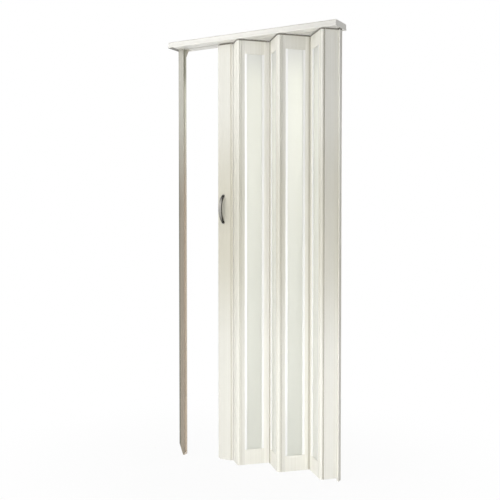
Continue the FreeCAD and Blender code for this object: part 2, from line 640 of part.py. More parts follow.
def bracket_post_holes():
    """Screws into the strike's rear flange, as (x, z), one over its hollow and one below the other."""
    x = STRIKE_X + STRIKE_WALL + STRIKE_CHAMBER / 2
    return [(x, RAIL_BOTTOM - BRACKET_DROP + BRACKET_EDGE),
            (x, RAIL_BOTTOM - BRACKET_THICK - 2 * BRACKET_EDGE)]


def bracket_rail_holes():
    """Screws up into the head rail, as (x, y)."""
    y = BRACKET_Y + BRACKET_FLANGE - BRACKET_EDGE
    return [(BRACKET_LEFT + BRACKET_EDGE, y), (BRACKET_RIGHT - BRACKET_EDGE, y)]


def strike_bracket():
    """Gusset behind the strike's rear flange with a tab under the rail."""
    top = RAIL_BOTTOM
    gusset = outline((BRACKET_LEFT, top), (BRACKET_RIGHT, top), (STRIKE_X + STRIKE_WIDTH, top - BRACKET_DROP),
                     (BRACKET_LEFT, top - BRACKET_DROP))
    plate = crosswise(gusset, BRACKET_Y, BRACKET_Y + BRACKET_THICK)
    tab = upright(rect(BRACKET_LEFT, BRACKET_RIGHT, BRACKET_Y, BRACKET_Y + BRACKET_FLANGE),
                  top - BRACKET_THICK, top)
    r = PAN_SCREW_R + PAN_CLEAR
    holes = [rod(r, (x, BRACKET_Y, z), (x, BRACKET_Y + BRACKET_THICK, z)) for x, z in bracket_post_holes()]
    holes += [rod(r, (x, y, top - BRACKET_THICK), (x, y, top)) for x, y in bracket_rail_holes()]
    return cut(plate.fuse(tab).removeSplitter(), *holes)


def pan_screw(seat, inward):
    """Screw whose head sits on the bracket at seat and whose shank leads inward."""
    seat, inward = Vector(*seat), Vector(*inward)
    shank = Part.makeCylinder(PAN_SCREW_R, BRACKET_THICK + PAN_BITE, seat, inward)
    return Part.makeCylinder(PAN_HEAD_R, PAN_HEAD, seat, inward * -1).fuse(shank).removeSplitter()


def bracket_screws():
    back, under = BRACKET_Y + BRACKET_THICK, RAIL_BOTTOM - BRACKET_THICK
    return Part.makeCompound([pan_screw((x, back, z), (0, -1, 0)) for x, z in bracket_post_holes()]
                             + [pan_screw((x, y, under), (0, 0, 1)) for x, y in bracket_rail_holes()])


# Wall jamb

def wall_jamb():
    """Plate against the wall that carries the last bead."""
    half = JAMB_WIDTH / 2
    plate = rounded(WALL_X - JAMB_PLATE, WALL_X, -half, half, JAMB_ROUND)
    relief = rect(WALL_X - RELIEF_DEPTH, WALL_X, -RELIEF_WIDTH / 2, RELIEF_WIDTH / 2)
    jamb = upright(cut(joined(plate, *bead(WALL_AXIS_X, 0, 1, 0)), relief), 0, RAIL_BOTTOM)
    y = JAMB_FIXING_SIDE
    return cut(jamb, *[rod(POST_FIXING_R, (WALL_X - JAMB_PLATE, y, z), (WALL_X, y, z))
                       for z in pair_heights(POST_FIXINGS)])


# Assembly

def fixed_frame():
    return {"head_rail": head_rail(),
            "rail_end_cap_left": rail_end_cap(-1), "rail_end_cap_right": rail_end_cap(1),
            "strike_post": strike_post(), "strike_foot_plug": strike_foot_plug(),
            "strike_magnets": strike_magnets(),
            "strike_bracket": strike_bracket(), "strike_bracket_screws": bracket_screws(),
            "wall_jamb": wall_jamb()}


def lead_assembly():
    handle, seat = bow_handle(), LEAD_THICK / 2
    pieces = {"lead_post": lead_post(), "lead_nose": lead_nose(),
              "lead_top_plug": lead_plug(PANEL_TOP, LEAD_HIGH),
              "lead_bottom_plug": lead_plug(PANEL_BOTTOM, LEAD_LOW), "lead_gliders": lead_gliders(),
              "lead_keeper": keeper(), "handle_screws": handle_screws(),
              "front_handle": handle.copy().translate(Vector(HANDLE_X, -seat, 0)),
              "rear_handle": turned(handle, 180).translate(Vector(HANDLE_X, seat, 0))}
    return {name: shape.translate(Vector(LEAD_AXIS_X, 0, 0)) for name, shape in pieces.items()}


def folded_chain():
    """Half panels, glazed panels and hinge strips in order from the lead post to the wall."""
    fold = math.radians(FOLD_REST)
    step, peak = HINGE_PITCH * math.cos(fold), HINGE_PITCH / 2 * math.sin(fold)
    strip, common = hinge_strip(), glazed_panel()
    stile = upright(stile_profile(), PANEL_BOTTOM, PANEL_TOP)
    x, side = LEAD_AXIS_X, -1
    pieces = {"lead_half_panel": standing(half_panel(1, LEAD_SWING), x + step / 4, side * peak / 2,
                                          -FOLD_REST)}
    x += step / 2
    for k in range(1, FULL_PANELS + 2):
        side = -1 if k % 2 else 1
        pieces[f"hinge_strip_{k}"] = standing(strip, x + STRIP_PITCH / 2, side * peak, 0 if side < 0 else 180)
        x += STRIP_PITCH
        if k > FULL_PANELS:
            break
        left = (stile if side < 0 else flipped(stile)).copy().translate(Vector(-HINGE_PITCH / 2, 0, 0))
        stiles = {"peak_stile": left, "valley_stile": turned(left, 180)}
        if side > 0:
            stiles = {"valley_stile": left, "peak_stile": turned(left, 180)}
        for name, shape in {**stiles, **common}.items():
            pieces[f"panel_{k}_{name}"] = standing(shape, x + step / 2, 0, -side * FOLD_REST)
        x += step
    last = half_panel(-1, HINGE_SWING)
    if side > 0:
        last = flipped(last)
    pieces["wall_half_panel"] = standing(last, x + step / 4, side * peak / 2, -side * FOLD_REST)
    return pieces


os.makedirs("parts", exist_ok=True)
door = {**fixed_frame(), **lead_assembly(), **folded_chain()}
for node, shape in door.items():
    shape.exportStep(f"parts/{node}.step")
print(f"{len(door)} pieces, rail {RAIL_LENGTH:.1f} long, "
      f"wall axis {WALL_AXIS_X:.3f}, lead axis {LEAD_AXIS_X:.3f}")
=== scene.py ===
# %% [markdown]
# # A folding PVC door, dressed on its CAD frame
#
# The door is a chain of hollow PVC panels that folds along a head rail. Every shape that shows is
# already a solid in the frame, with its grooves and its hinges, so no piece of the door is modelled
# here. The lesson is about finishes and light: satin PVC with a fine grain, painted shade on the strike
# post, glossy glazing channels, frosted acrylic and brushed metal. Some light and shade is also
# painted into the colours of the PVC, the panes and the handles. The frame is loaded first.

# %% Load the frame
import json
import math

import bpy
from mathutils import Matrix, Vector


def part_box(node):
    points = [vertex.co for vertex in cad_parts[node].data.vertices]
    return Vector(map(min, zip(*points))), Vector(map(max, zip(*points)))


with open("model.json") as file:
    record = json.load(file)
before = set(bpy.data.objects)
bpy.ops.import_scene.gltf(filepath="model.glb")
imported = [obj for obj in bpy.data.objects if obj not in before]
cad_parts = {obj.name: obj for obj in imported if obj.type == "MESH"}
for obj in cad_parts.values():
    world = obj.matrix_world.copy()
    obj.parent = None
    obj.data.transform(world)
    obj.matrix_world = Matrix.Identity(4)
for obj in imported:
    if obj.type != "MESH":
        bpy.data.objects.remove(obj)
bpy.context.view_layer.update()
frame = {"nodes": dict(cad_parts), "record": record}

nodes = frame["nodes"]

# %% [markdown]
# ## The viewpoint
#
# The photograph was taken from the right, at about the height of the handle, with a slightly long
# lens. A camera could be turned by hand until the picture looks alike, but the fold lines of the
# panels are long and straight, so its place was solved from their ends instead. The numbers below
# are a position in metres and two angles. There is no lens shift and no blur.

# %% Camera
CAMERA_PLACE = (1.8420, -3.2447, 1.1436)
CAMERA_TURN = 29.81         # degrees to the left of straight on
CAMERA_DIP = 1.694          # degrees below the horizon
CAMERA_LENS = 56.64         # millimetres, for the sensor below
SENSOR_WIDTH = 36           # millimetres
FAR_CLIP = 50               # metres

camera = bpy.data.objects.new("viewpoint", bpy.data.cameras.new("viewpoint"))
bpy.context.scene.collection.objects.link(camera)
camera.location = CAMERA_PLACE
camera.rotation_euler = (math.radians(90 - CAMERA_DIP), 0, math.radians(CAMERA_TURN))
camera.data.lens = CAMERA_LENS
camera.data.sensor_width = SENSOR_WIDTH
camera.data.clip_end = FAR_CLIP
camera.data.dof.use_dof = False
bpy.context.scene.camera = camera
print("camera at", CAMERA_PLACE)

# %% [markdown]
# ## A small kit for node materials
#
# Each finish below is one Principled shader with a few nodes in front of it. They could be joined in
# the shader editor with the mouse, but a script can repeat them for every finish. Writing each link
# by hand is tedious to read, so one helper fills a socket with a value or a link, a second adds a
# node with its inputs, and a third starts a material and hands back its shader.

# %% Node helpers
def feed(socket, value):
    """Set a socket to a number or a colour, or link the output of another node to it."""
    if isinstance(value, bpy.types.NodeSocket):
        socket.id_data.links.new(value, socket)
    else:
        socket.default_value = value


def node_adder(tree):
    """Function that adds a node to this tree, sets its options and fills its inputs."""
    def add(kind, inputs=None, **options):
        node = tree.nodes.new(kind)
        for option, choice in options.items():
            setattr(node, option, choice)
        for key, value in (inputs or {}).items():
            feed(node.inputs[key], value)
        return node

    return add


def new_finish(name):
    """Material with a Principled shader. Returns it, its shader and a function that adds nodes."""
    finish = bpy.data.materials.new(name)
    finish.use_nodes = True
    finish.node_tree.nodes.clear()
    add = node_adder(finish.node_tree)
    shader = add("ShaderNodeBsdfPrincipled")
    add("ShaderNodeOutputMaterial", {"Surface": shader.outputs["BSDF"]})
    return finish, shader, add


print("node helpers ready")

# %% [markdown]
# ## Patterns that stay on the piece
#
# Extruded plastic has a grain that runs one way. An image could show it, but a noise that is
# squeezed across the piece and stretched along it needs no unwrapping and never repeats. It is read
# from the object's own coordinates, so that it moves with its piece when the door folds. The other
# helpers here turn such a pattern into a number in a range, a blend of two tones or a shallow relief.

# %% Grain
def colour(red, green, blue):
    """Opaque colour."""
    return (red, green, blue, 1.0)


def place_on_piece(add):
    """Outputs X (along the door), Y (from front to rear) and Z (height), fixed to the piece."""
    return add("ShaderNodeSeparateXYZ", {0: add("ShaderNodeTexCoord").outputs["Object"]}).outputs


def grain(add, across, along, detail, roughness=0.5, level=False):
    """Noise with so many patches per metre across a piece and along it, upright or level."""
    squeeze = (along, across, across) if level else (across, across, along)
    place = add("ShaderNodeTexCoord").outputs["Object"]
    vector = add("ShaderNodeMapping", {"Vector": place, "Scale": squeeze}).outputs["Vector"]
    return add("ShaderNodeTexNoise", {"Vector": vector, "Scale": 1.0, "Detail": detail,
                                      "Roughness": roughness}).outputs["Fac"]


print("grain ready")

# %% Ranges, blends and relief
def ramp(add, value, start, end, low=0.0, high=1.0, soft=False):
    """Number that goes from low to high while the value goes from start to end."""
    return add("ShaderNodeMapRange", {"Value": value, "From Min": start, "From Max": end,
                                      "To Min": low, "To Max": high},
               interpolation_type="SMOOTHSTEP" if soft else "LINEAR").outputs["Result"]


def between(add, pattern, low, high):
    """Number from a pattern of 0 to 1, moved to the range low to high."""
    return ramp(add, pattern, 0.0, 1.0, low, high)


def reckoned(add, operation, *terms):
    """Result of one Math node."""
    return add("ShaderNodeMath", dict(enumerate(terms)), operation=operation).outputs[0]


def blended(add, share, first, second):
    """Colour that goes from the first tone to the second as the share goes from 0 to 1."""
    mix = add("ShaderNodeMix", {"Factor": share}, data_type="RGBA")
    # the colour sockets of this node share their names with its number sockets
    tones = [socket for socket in mix.inputs if socket.type == "RGBA"]
    feed(tones[0], first)
    feed(tones[1], second)
    return next(socket for socket in mix.outputs if socket.type == "RGBA")


def embossed(add, shader, pattern, strength, depth):
    """Relief from a pattern, with its depth in metres."""
    bump = add("ShaderNodeBump", {"Height": pattern, "Strength": strength, "Distance": depth})
    feed(shader.inputs["Normal"], bump.outputs["Normal"])


print("ranges, blends and relief ready")

# %% [markdown]
# ## Painted light and shade on the PVC
#
# Some of the shade on this door is painted into the colour of the PVC: darker grooves and folds, a
# darker, yellowish band at mid-height and a dark edge in the gap under the head rail. It could all be
# painted on a map for each piece. Here a height or a place along the door decides where one tone
# gives way to another, which takes a few nodes and stays sharp at any size. For corners there is the
# ambient occlusion node: it finds narrow places by itself, from every side, and there the tone is
# darkened as painted shade, and on some pieces lightened as painted light.

# %% Corners and lines
CORNER_REACH = 0.0045       # metres from a corner within which its tone changes
CORNER_SHARE = (0.25, 0.75)         # openness at which a corner has its full tone and at which it has none
CORNER_SAMPLES = 8


def cornered(add, tone, amount, deep):
    """Tone that turns to another one where the surface lies deep in a corner, as painted shade, or as
    painted light where the corner tone is paler.
    """
    # painted light and shade in corners: ambient occlusion marks where shade falls
    openness = add("ShaderNodeAmbientOcclusion", {"Distance": CORNER_REACH}, samples=CORNER_SAMPLES)
    share = ramp(add, openness.outputs["AO"], *CORNER_SHARE, low=amount, high=0.0)
    return blended(add, share, tone, deep)


def lined(add, tone, middle, half_width, line):
    """Tone with a line of another one up the piece, at a place along the door, used for painted shade."""
    near = reckoned(add, "COMPARE", place_on_piece(add)["X"], middle, half_width)
    return blended(add, near, tone, line)


print(f"corners change tone within {1000 * CORNER_REACH:.1f} mm")

# %% Painted shade at mid-height
SHADE_BAND_HEIGHT = 1.15          # metres above the floor
SHADE_BAND_REACH = (0.1, 0.6)     # metres above and below it, to where the painted shade thins and where it ends
# painted shade: a darker, yellowish band around that height
BAND_SHADE = colour(0.58, 0.545, 0.42)


def band_shaded(add, tone, amount):
    """Tone that darkens and yellows in a band of painted shade around a given height."""
    offset = reckoned(add, "SUBTRACT", place_on_piece(add)["Z"], SHADE_BAND_HEIGHT)
    away = reckoned(add, "ABSOLUTE", offset)
    return blended(add, ramp(add, away, *SHADE_BAND_REACH, low=amount, high=0.0, soft=True), tone, BAND_SHADE)


print(f"hands reach from {SHADE_BAND_HEIGHT - SHADE_BAND_REACH[1]:.2f} to {SHADE_BAND_HEIGHT + SHADE_BAND_REACH[1]:.2f} m")

# %% Painted shade at the head rail
HEAD_EDGE = (0.0065, 0.0035)        # below the top of a panel, where its painted dark edge starts and is full
UNDERSIDE = 0.0015          # metres above the lowest face of the rail that count as its underside
PANEL_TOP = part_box("panel_1_top_rail")[1].z
RAIL_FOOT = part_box("head_rail")[0].z
STRIKE_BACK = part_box("strike_post")[0].x
# painted shade in the gap between the panels and the head rail
GAP_SHADE = colour(0.20, 0.185, 0.15)
# painted shade under the end of the head rail
OVERHANG_SHADE = colour(0.22, 0.21, 0.18)


def gap_shaded(add, tone):
    """Tone that darkens along the upper edge, as painted shade in the gap under the head rail."""
    start, full = (PANEL_TOP - drop for drop in HEAD_EDGE)
    return blended(add, ramp(add, place_on_piece(add)["Z"], start, full), tone, GAP_SHADE)


def overhang_shaded(add, tone):
    """Tone that is darker, as painted shade, under the end of the head rail past the strike post."""
    place = place_on_piece(add)
    under = reckoned(add, "LESS_THAN", place["Z"], RAIL_FOOT + UNDERSIDE)
    past = reckoned(add, "LESS_THAN", place["X"], STRIKE_BACK)
    return blended(add, reckoned(add, "MULTIPLY", under, past), tone, OVERHANG_SHADE)


print(f"top of the panels {PANEL_TOP:.4f} m, underside of the rail {RAIL_FOOT:.4f} m")

# %% [markdown]
# ## Satin PVC
#
# The panels are extruded from an ivory compound. The die leaves fine lines along the length, and the
# surface is embossed with a shallow grain that runs the same way. A coarse noise gives faint streaks
# of tone, a fine one gives gloss and relief. The grain could be geometry too, but it is only a tenth
# of a millimetre deep, so a bump is enough. The grooves of the panels are solid in the frame.

# %% Satin PVC
STREAKS = (160, 0.04)       # patches per metre, across and along
STREAK_CONTRAST = (0.35, 0.65)      # part of the noise that is spread over both tones
FINE_GRAIN = (900, 1.2)     # patches per metre, across and along
SATIN = (0.34, 0.46)        # roughness
GRAIN_RELIEF = (0.5, 0.00012)       # strength, and depth in metres
# painted shade that darkens the corners and grooves of the PVC
CORNER_SHADE = colour(0.36, 0.335, 0.27)


def satin_pvc(name, light, dark, corners=0.65, shade_band=0.38, level=False, lines=(), deep=CORNER_SHADE):
    """PVC in two close tones; two amounts from 0 to 1 set its painted light and shade in corners and at
    mid-height.
    """
    finish, shader, add = new_finish(name)
    streaks = grain(add, *STREAKS, detail=2.0, level=level)
    fine = grain(add, *FINE_GRAIN, detail=4.0, roughness=0.6, level=level)
    tone = blended(add, ramp(add, streaks, *STREAK_CONTRAST), dark, light)
    for line in lines:
        tone = lined(add, tone, *line)
    if shade_band:
        tone = band_shaded(add, tone, shade_band)
    tone = overhang_shaded(add, tone) if level else gap_shaded(add, tone)
    feed(shader.inputs["Base Color"], cornered(add, tone, corners, deep))
    feed(shader.inputs["Roughness"], between(add, fine, *SATIN))
    embossed(add, shader, fine, *GRAIN_RELIEF)
    feed(shader.inputs["IOR"], 1.5)
    feed(shader.inputs["Specular IOR Level"], 0.35)
    return finish


print(f"grain {1000 * GRAIN_RELIEF[1]:.2f} mm deep")

# %% Panels, hinge strips and rail
panel_pvc = satin_pvc("ivory_pvc", colour(0.86, 0.85, 0.785), colour(0.82, 0.805, 0.735))
strip_pvc = satin_pvc("hinge_pvc", colour(0.84, 0.83, 0.76), colour(0.80, 0.785, 0.71))
rail_pvc = satin_pvc("rail_pvc", colour(0.86, 0.85, 0.80), colour(0.825, 0.81, 0.76), shade_band=0, level=True)
print("PVC finishes:", panel_pvc.name, strip_pvc.name, rail_pvc.name)

# %% [markdown]
# ## Lit and shaded copies of the PVC
#
# Some pieces take a copy of the PVC in another tone, which paints light and shade on them. The lead
# post is darker and has the strongest band at mid-height, both as painted shade, and the peak stiles
# of the first and the third panel and the third panel's top rail are darker too. The half panels are
# paler, as painted light, and so are the stiles in the valleys, the first one most. In the lead post,
# the half panels and the first valley the corners are lightened, not darkened, as painted light. A
# thin line of painted shade lies in the step of the lead post and beside some of the folds. One
# material with many switches could do all this. Separate materials from the same function are easier
# to read, and each has its line where its own solid needs it.

# %% Lit and shaded copies of the PVC
LEAD_BOX = 0.064            # width of the lead post's box, left of its hinge flange
STEP_LINE = (0.001, 0.0025)         # from the end of that box to the middle of its line of painted shade, half width
WALL_LINE = (0.0085, 0.003)         # the same from the left end of the wall half panel
FAR_LINE = (0.0097, 0.005)          # the same from the left end of a valley stile
NEAR_LINE = (0.0032, 0.0026)        # the same from the right end of a valley stile
# painted shade for the lines in the lead post's step and beside the folds
FOLD_SHADE = colour(0.38, 0.35, 0.28)
FAINT_SHADE = colour(0.645, 0.62, 0.545)
# painted light: a paler tone for deep corners, in place of the shade that falls there
CORNER_LIGHT = colour(0.95, 0.945, 0.92)
VALLEY_TONES = (colour(0.88, 0.87, 0.805), colour(0.845, 0.83, 0.76))

lead_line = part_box("lead_post")[0].x + LEAD_BOX + STEP_LINE[0]
wall_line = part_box("wall_half_panel")[0].x + WALL_LINE[0]
# painted shade: a darker copy for the lead post, with painted light in its corners
lead_pvc = satin_pvc("lead_pvc", colour(0.79, 0.78, 0.72), colour(0.755, 0.745, 0.68), corners=1.0,
                     shade_band=0.55, lines=[(lead_line, STEP_LINE[1], FAINT_SHADE)], deep=CORNER_LIGHT)
# painted light: a paler copy for the half panels, also paler in their corners
lit_pvc = satin_pvc("lit_pvc", colour(0.90, 0.89, 0.825), colour(0.865, 0.85, 0.78), corners=1.0,
                      lines=[(wall_line, WALL_LINE[1], FOLD_SHADE)], deep=CORNER_LIGHT)
# painted shade: darker copies for the peak stiles of the first and third panel and a top rail
outer_pvc = satin_pvc("outer_pvc", colour(0.785, 0.775, 0.715), colour(0.75, 0.735, 0.67))
first_pvc = satin_pvc("first_pvc", colour(0.80, 0.79, 0.73), colour(0.765, 0.75, 0.685), corners=0.2)

# painted light: paler copies for the valley stiles, the first one palest
first_valley = satin_pvc("inner_pvc_1", colour(0.93, 0.92, 0.86), colour(0.895, 0.88, 0.815), corners=1.0,
                         shade_band=0.1, deep=CORNER_LIGHT)
valley_pvc = {"panel_1_valley_stile": first_valley}
valley_lines = {2: [(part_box("panel_2_valley_stile")[0].x + FAR_LINE[0], FAR_LINE[1], FOLD_SHADE)],
                3: [(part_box("panel_3_valley_stile")[1].x - NEAR_LINE[0], NEAR_LINE[1], FAINT_SHADE)],
                4: []}
for number, lines in valley_lines.items():
    stile_pvc = satin_pvc(f"inner_pvc_{number}", *VALLEY_TONES, corners=0.15, shade_band=0.1, lines=lines)
    valley_pvc[f"panel_{number}_valley_stile"] = stile_pvc
print("PVC finishes:", lead_pvc.name, lit_pvc.name, outer_pvc.name, first_pvc.name)
print("in the valleys:", *(finish.name for finish in valley_pvc.values()))

# %% [markdown]
# ## The strike post
#
# The outside of the strike post is painted a dark beige that stands for the shade it lies in, with a
# faint grain that runs up it. That painted shade is lighter towards the top and darker along the outer
# corner. Inside the receiver, where the lead post closes, the extrusion is plain and pale, with painted
# shade that darkens and browns it towards the foot and a painted shadow under the rail. Two materials
# would need their faces picked by hand. One material does both: the place on the post decides,
# measured from the box of its solid, so the border runs along the edges of the two flanges. The
# magnets and the foot plug lie inside the receiver, and with the same material they show its tone.

# %% Strike finish
FLANGE = 0.002              # thickness of the receiver's flanges
WEB_DEPTH = 0.0125          # mouth of the receiver to its web
HAIR = 0.0001               # metres that keep the border off the faces themselves
PALER_ABOVE = (1.20, 1.75)     # heights between which the painted shade on the post lightens
OUTER_CORNER = (0.010, 0.005)       # from the outer corner to where its darker line of painted shade starts and is full
SHADOW_UNDER_RAIL = (1.82, 1.92)   # heights between which a painted shadow darkens the inside under the rail
STRIKE_GRAIN = (420, 3.0)     # patches per metre, across and along
STRIKE_SATIN = (0.36, 0.52)   # roughness
STRIKE_RELIEF = (0.5, 0.00015)        # strength, and depth in metres
strike_low, strike_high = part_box("strike_post")


def shaded_and_plain(name):
    """Dark beige painted shade outside the receiver, and plain, pale PVC inside it with painted shade."""
    finish, shader, add = new_finish(name)
    place = place_on_piece(add)
    fibre = grain(add, *STRIKE_GRAIN, detail=4.0, roughness=0.6)
    pale = ramp(add, place["Z"], *PALER_ABOVE, soft=True)
    corner = ramp(add, place["X"], *(strike_low.x + inwards for inwards in OUTER_CORNER), soft=True)
    under_rail = ramp(add, place["Z"], *SHADOW_UNDER_RAIL, soft=True)
    # painted shade: the dark beige outside, darker still along the outer corner
    outer_tone = blended(add, fibre, colour(0.285, 0.245, 0.19), colour(0.375, 0.33, 0.265))
    outer_tone = blended(add, corner, outer_tone, colour(0.185, 0.18, 0.14))
    outer_tone = blended(add, pale, outer_tone, colour(0.46, 0.45, 0.39))
    # painted shade inside: darker and browner towards the foot, with a painted shadow under the rail
    plain = blended(add, pale, colour(0.71, 0.63, 0.525), colour(0.82, 0.81, 0.72))
    plain = blended(add, under_rail, plain, colour(0.56, 0.55, 0.47))
    past_web = reckoned(add, "GREATER_THAN", place["X"], strike_high.x - WEB_DEPTH - HAIR)
    aside = reckoned(add, "ABSOLUTE", place["Y"])
    between_flanges = reckoned(add, "LESS_THAN", aside, strike_high.y - FLANGE + HAIR)
    inside = reckoned(add, "MULTIPLY", past_web, between_flanges)
    feed(shader.inputs["Base Color"], blended(add, inside, outer_tone, plain))
    feed(shader.inputs["Roughness"], between(add, fibre, *STRIKE_SATIN))
    embossed(add, shader, fibre, *STRIKE_RELIEF)
    return finish


strike_shaded = shaded_and_plain("strike_shaded")
print("strike finish:", strike_shaded.name, "on a post", round(strike_high.z, 3), "m tall")

# %% [markdown]
# ## Glazing channels
#
# The two long edges of each pane sit in a bright white channel with a glossier skin than the panels.
# It catches the light as a thin line on both sides of the pane. An emission shader could fake that
# line, but it would glow from every side. Here a low roughness does it, together with a narrow lamp
# that comes later.

# %% Channel finish
CHANNEL_RIPPLE = (120, 2)   # patches per metre, across and along
CHANNEL_GLOSS = (0.10, 0.18)        # roughness


def glossy_channel(name):
    """White PVC with a hard, glossy skin."""
    finish, shader, add = new_finish(name)
    ripple = grain(add, *CHANNEL_RIPPLE, detail=2.0)
    tone = blended(add, ripple, colour(0.96, 0.96, 0.95), colour(0.99, 0.99, 0.985))
    feed(shader.inputs["Base Color"], tone)
    feed(shader.inputs["Roughness"], between(add, ripple, *CHANNEL_GLOSS))
    feed(shader.inputs["IOR"], 1.8)
    return finish


channel_white = glossy_channel("white_channel")
print("channel finish:", channel_white.name)

# %% [markdown]
# ## Frosted acrylic
#
# The panes are clear acrylic with one etched face: light passes but shapes don't. A rough
# transmission alone would do it, yet much of what the eye sees is light scattered back by the
# etching, so the sheet is a pale diffuse surface with a weaker, rough transmission. A very fine noise
# gives the etched grain and a broad one the cloudy tone. The frost is darker at the foot, as painted
# shade, and darker under the top rail, as a painted shadow. On the panes of the second and the fourth
# panel the foot is paler instead, as a painted sheen, so the tones of the foot are left open.

# %% Pane finishes
FROST_RISE = (0.1, 1.2)     # heights between which the painted tone of the foot gives way to that above
PANE_HEAD_SHADOW = (1.80, 1.98)    # heights between which a painted shadow darkens the pane under its top rail
CLOUD = (9, 1.6)            # patches per metre, across and along
ETCH = (2600, 2600)         # the same
FROST_SATIN = (0.36, 0.52)  # roughness
ETCH_RELIEF = (0.3, 0.00005)        # strength, and depth in metres


def frosted_acrylic(name, foot_dark, foot_light):
    """Acrylic sheet with an etched face; the foot takes the given tones, and a painted shadow darkens the
    head.
    """
    finish, shader, add = new_finish(name)
    height = place_on_piece(add)["Z"]
    cloud = grain(add, *CLOUD, detail=2.0)
    etch = grain(add, *ETCH, detail=1.0)
    # the tones of the foot: darker as painted shade, or paler as a painted sheen
    foot = blended(add, cloud, foot_dark, foot_light)
    upper = blended(add, cloud, colour(0.885, 0.89, 0.815), colour(0.925, 0.93, 0.855))
    frost = blended(add, ramp(add, height, *FROST_RISE), foot, upper)
    # painted shadow under the top rail
    frost = blended(add, ramp(add, height, *PANE_HEAD_SHADOW, soft=True), frost, colour(0.78, 0.785, 0.745))
    feed(shader.inputs["Base Color"], frost)
    feed(shader.inputs["Roughness"], between(add, etch, *FROST_SATIN))
    embossed(add, shader, etch, *ETCH_RELIEF)
    feed(shader.inputs["IOR"], 1.49)
    feed(shader.inputs["Transmission Weight"], 0.45)
    return finish


# painted shade: these panes are darker at the foot
pane_frost = frosted_acrylic("frosted_acrylic", colour(0.79, 0.80, 0.735), colour(0.83, 0.84, 0.775))
# painted sheen: the panes of the second and the fourth panel are paler at the foot
pane_sheen = frosted_acrylic("sheen_acrylic", colour(0.94, 0.945, 0.89), colour(0.975, 0.98, 0.925))
print("pane finishes:", pane_frost.name, pane_sheen.name)

# %% [markdown]
# ## Handle metal
#
# The handles are satin nickel, brushed on the face, and their sides are painted almost black as
# painted shade. The faces could be picked by hand, but the normal tells them apart: on a face it points
# away from the door, to the front on one handle and to the rear on the other, so it is multiplied by
# the side that the handle is on. The brush lines are a noise stretched along the bow.

# %% Handle finish
BRUSH = (700, 40)           # patches per metre, across and along
BRUSH_DETAIL = {"detail": 3.0, "roughness": 0.6}
FACE = (0.75, 0.97)         # share of the normal that points outward, where the face starts and is full
FACE_SATIN = (0.52, 0.66)   # roughness


def face_brushed(name, light, dark, side_shade):
    """Metal that is brushed on the face turned away from the door, with its sides painted dark as shade."""
    finish, shader, add = new_finish(name)
    lines = grain(add, *BRUSH, **BRUSH_DETAIL)
    front_or_rear = reckoned(add, "SIGN", place_on_piece(add)["Y"])
    normal = add("ShaderNodeSeparateXYZ", {0: add("ShaderNodeTexCoord").outputs["Normal"]}).outputs
    outward = reckoned(add, "MULTIPLY", front_or_rear, normal["Y"])
    brush = blended(add, lines, dark, light)
    # painted shade: the sides take a near-black tone
    feed(shader.inputs["Base Color"], blended(add, ramp(add, outward, *FACE), side_shade, brush))
    feed(shader.inputs["Roughness"], between(add, lines, *FACE_SATIN))
    feed(shader.inputs["Metallic"], 1.0)
    return finish


handle_nickel = face_brushed("handle_metal", colour(0.40, 0.39, 0.36), colour(0.27, 0.26, 0.235),
                             side_shade=colour(0.02, 0.019, 0.017))
print("handle finish:", handle_nickel.name)

# %% [markdown]
# ## Screws, bracket and gliders
#
# The screws and the keeper are zinc plated, the bracket is painted and the gliders are moulded nylon.
# Plain shaders would nearly do for pieces this small. A little noise in tone and roughness keeps them
# from looking like wax when the camera comes close.

# %% Small finishes
PLATING = (500, 500)        # patches per metre, across and along
MOULD_GRAIN = (900, 900)    # the same
MOULD_RELIEF = (0.4, 0.0001)        # strength, and depth in metres


def plated(name, light, dark, gloss):
    """Bare metal with a mottled sheen."""
    finish, shader, add = new_finish(name)
    mottle = grain(add, *PLATING, **BRUSH_DETAIL)
    feed(shader.inputs["Base Color"], blended(add, mottle, dark, light))
    feed(shader.inputs["Roughness"], between(add, mottle, *gloss))
    feed(shader.inputs["Metallic"], 1.0)
    return finish


def moulded(name, light, dark, gloss):
    """Paint or plastic with a fine, even grain."""
    finish, shader, add = new_finish(name)
    speckle = grain(add, *MOULD_GRAIN, detail=2.0)
    feed(shader.inputs["Base Color"], blended(add, speckle, dark, light))
    feed(shader.inputs["Roughness"], between(add, speckle, *gloss))
    embossed(add, shader, speckle, *MOULD_RELIEF)
    return finish


screw_zinc = plated("plated_steel", colour(0.70, 0.70, 0.69), colour(0.58, 0.58, 0.57), (0.28, 0.42))
bracket_paint = moulded("bracket_metal", colour(0.52, 0.49, 0.42), colour(0.45, 0.42, 0.36), (0.45, 0.6))
glider_nylon = moulded("nylon", colour(0.80, 0.79, 0.74), colour(0.74, 0.73, 0.68), (0.35, 0.5))
print("small finishes:", screw_zinc.name, bracket_paint.name, glider_nylon.name)

# %% [markdown]
# ## Which piece takes which finish
#
# The record of the frame names a material slot for every solid, and a short table turns the slots
# into the finishes above. A second table names the pieces that differ although they share a slot: the
# lead post with its nose and plugs, the half panels, some of the stiles with one top rail, the head
# rail with its caps, the strike post with what lies in it, and two of the panes. Materials could be
# dropped on the pieces one by one, but a table can be read at a glance.

